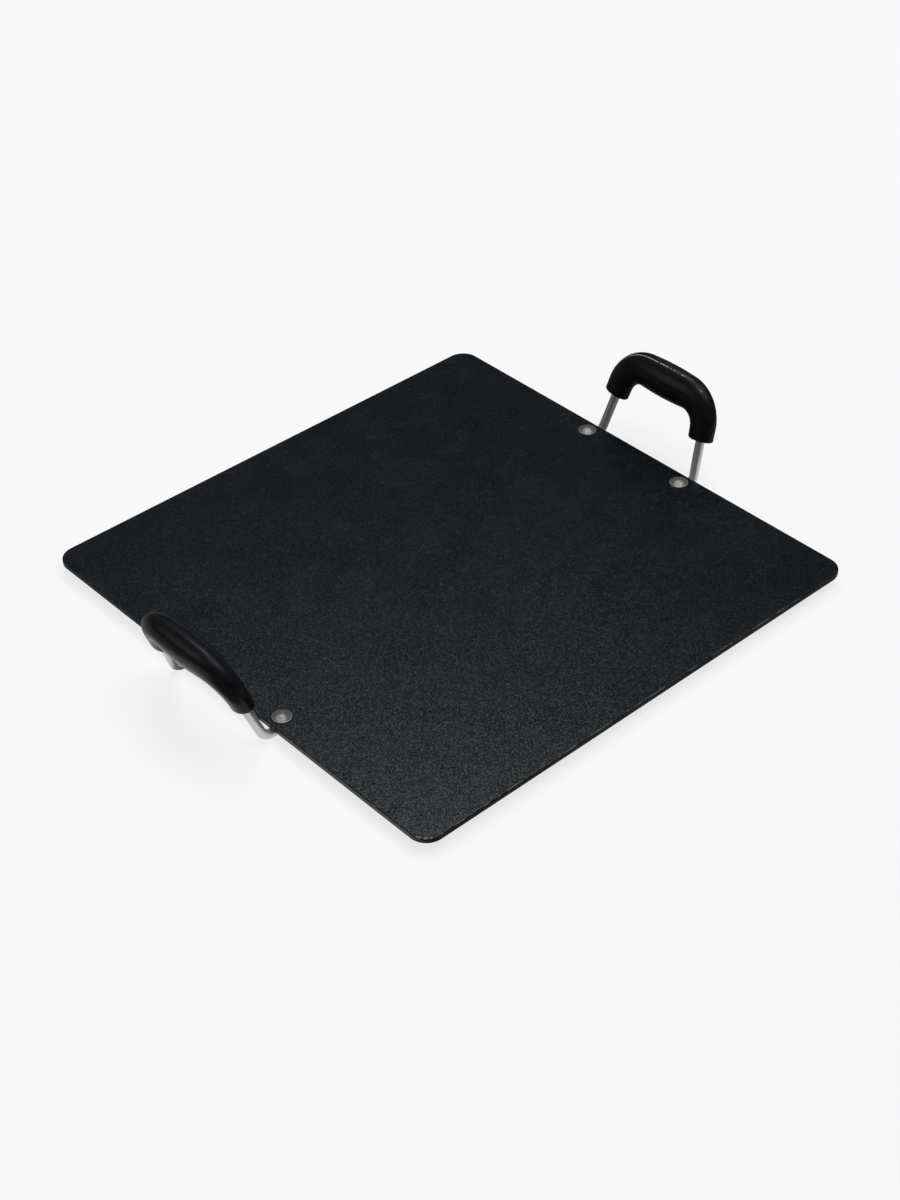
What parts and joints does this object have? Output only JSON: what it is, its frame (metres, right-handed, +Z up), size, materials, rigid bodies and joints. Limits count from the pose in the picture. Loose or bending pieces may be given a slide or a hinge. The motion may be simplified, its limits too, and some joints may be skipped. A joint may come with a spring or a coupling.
{
  "type": "griddle plate",
  "caption": "Flat square griddle plate with rounded corners, a dark speckled coating and, on opposite edges, riveted steel loop handles with moulded grips.",
  "frame": {"origin": "on the surface that the part stands on, under the middle of the plate", "axes": "+Z up, out of the cooking face; +X towards the right handle; -Y towards the front edge, which has no handle"},
  "size_m": [0.4158, 0.35, 0.0668],
  "materials": {
    "coated_plate": "satin black speckled non-stick coating",
    "handle_steel": "bright drawn rod, lightly polished",
    "grip_moulding": "satin black thermoset moulding with a parting line",
    "rivet_metal": "dull grey, hammered"
  },
  "bodies": {
    "root": {"griddle_plate": "coated_plate", "right_handle_rod": "handle_steel", "left_handle_rod": "handle_steel", "right_grip": "grip_moulding", "left_grip": "grip_moulding", "right_front_rivet": "rivet_metal", "right_back_rivet": "rivet_metal", "left_front_rivet": "rivet_metal", "left_back_rivet": "rivet_metal"}
  },
  "joints": []
}
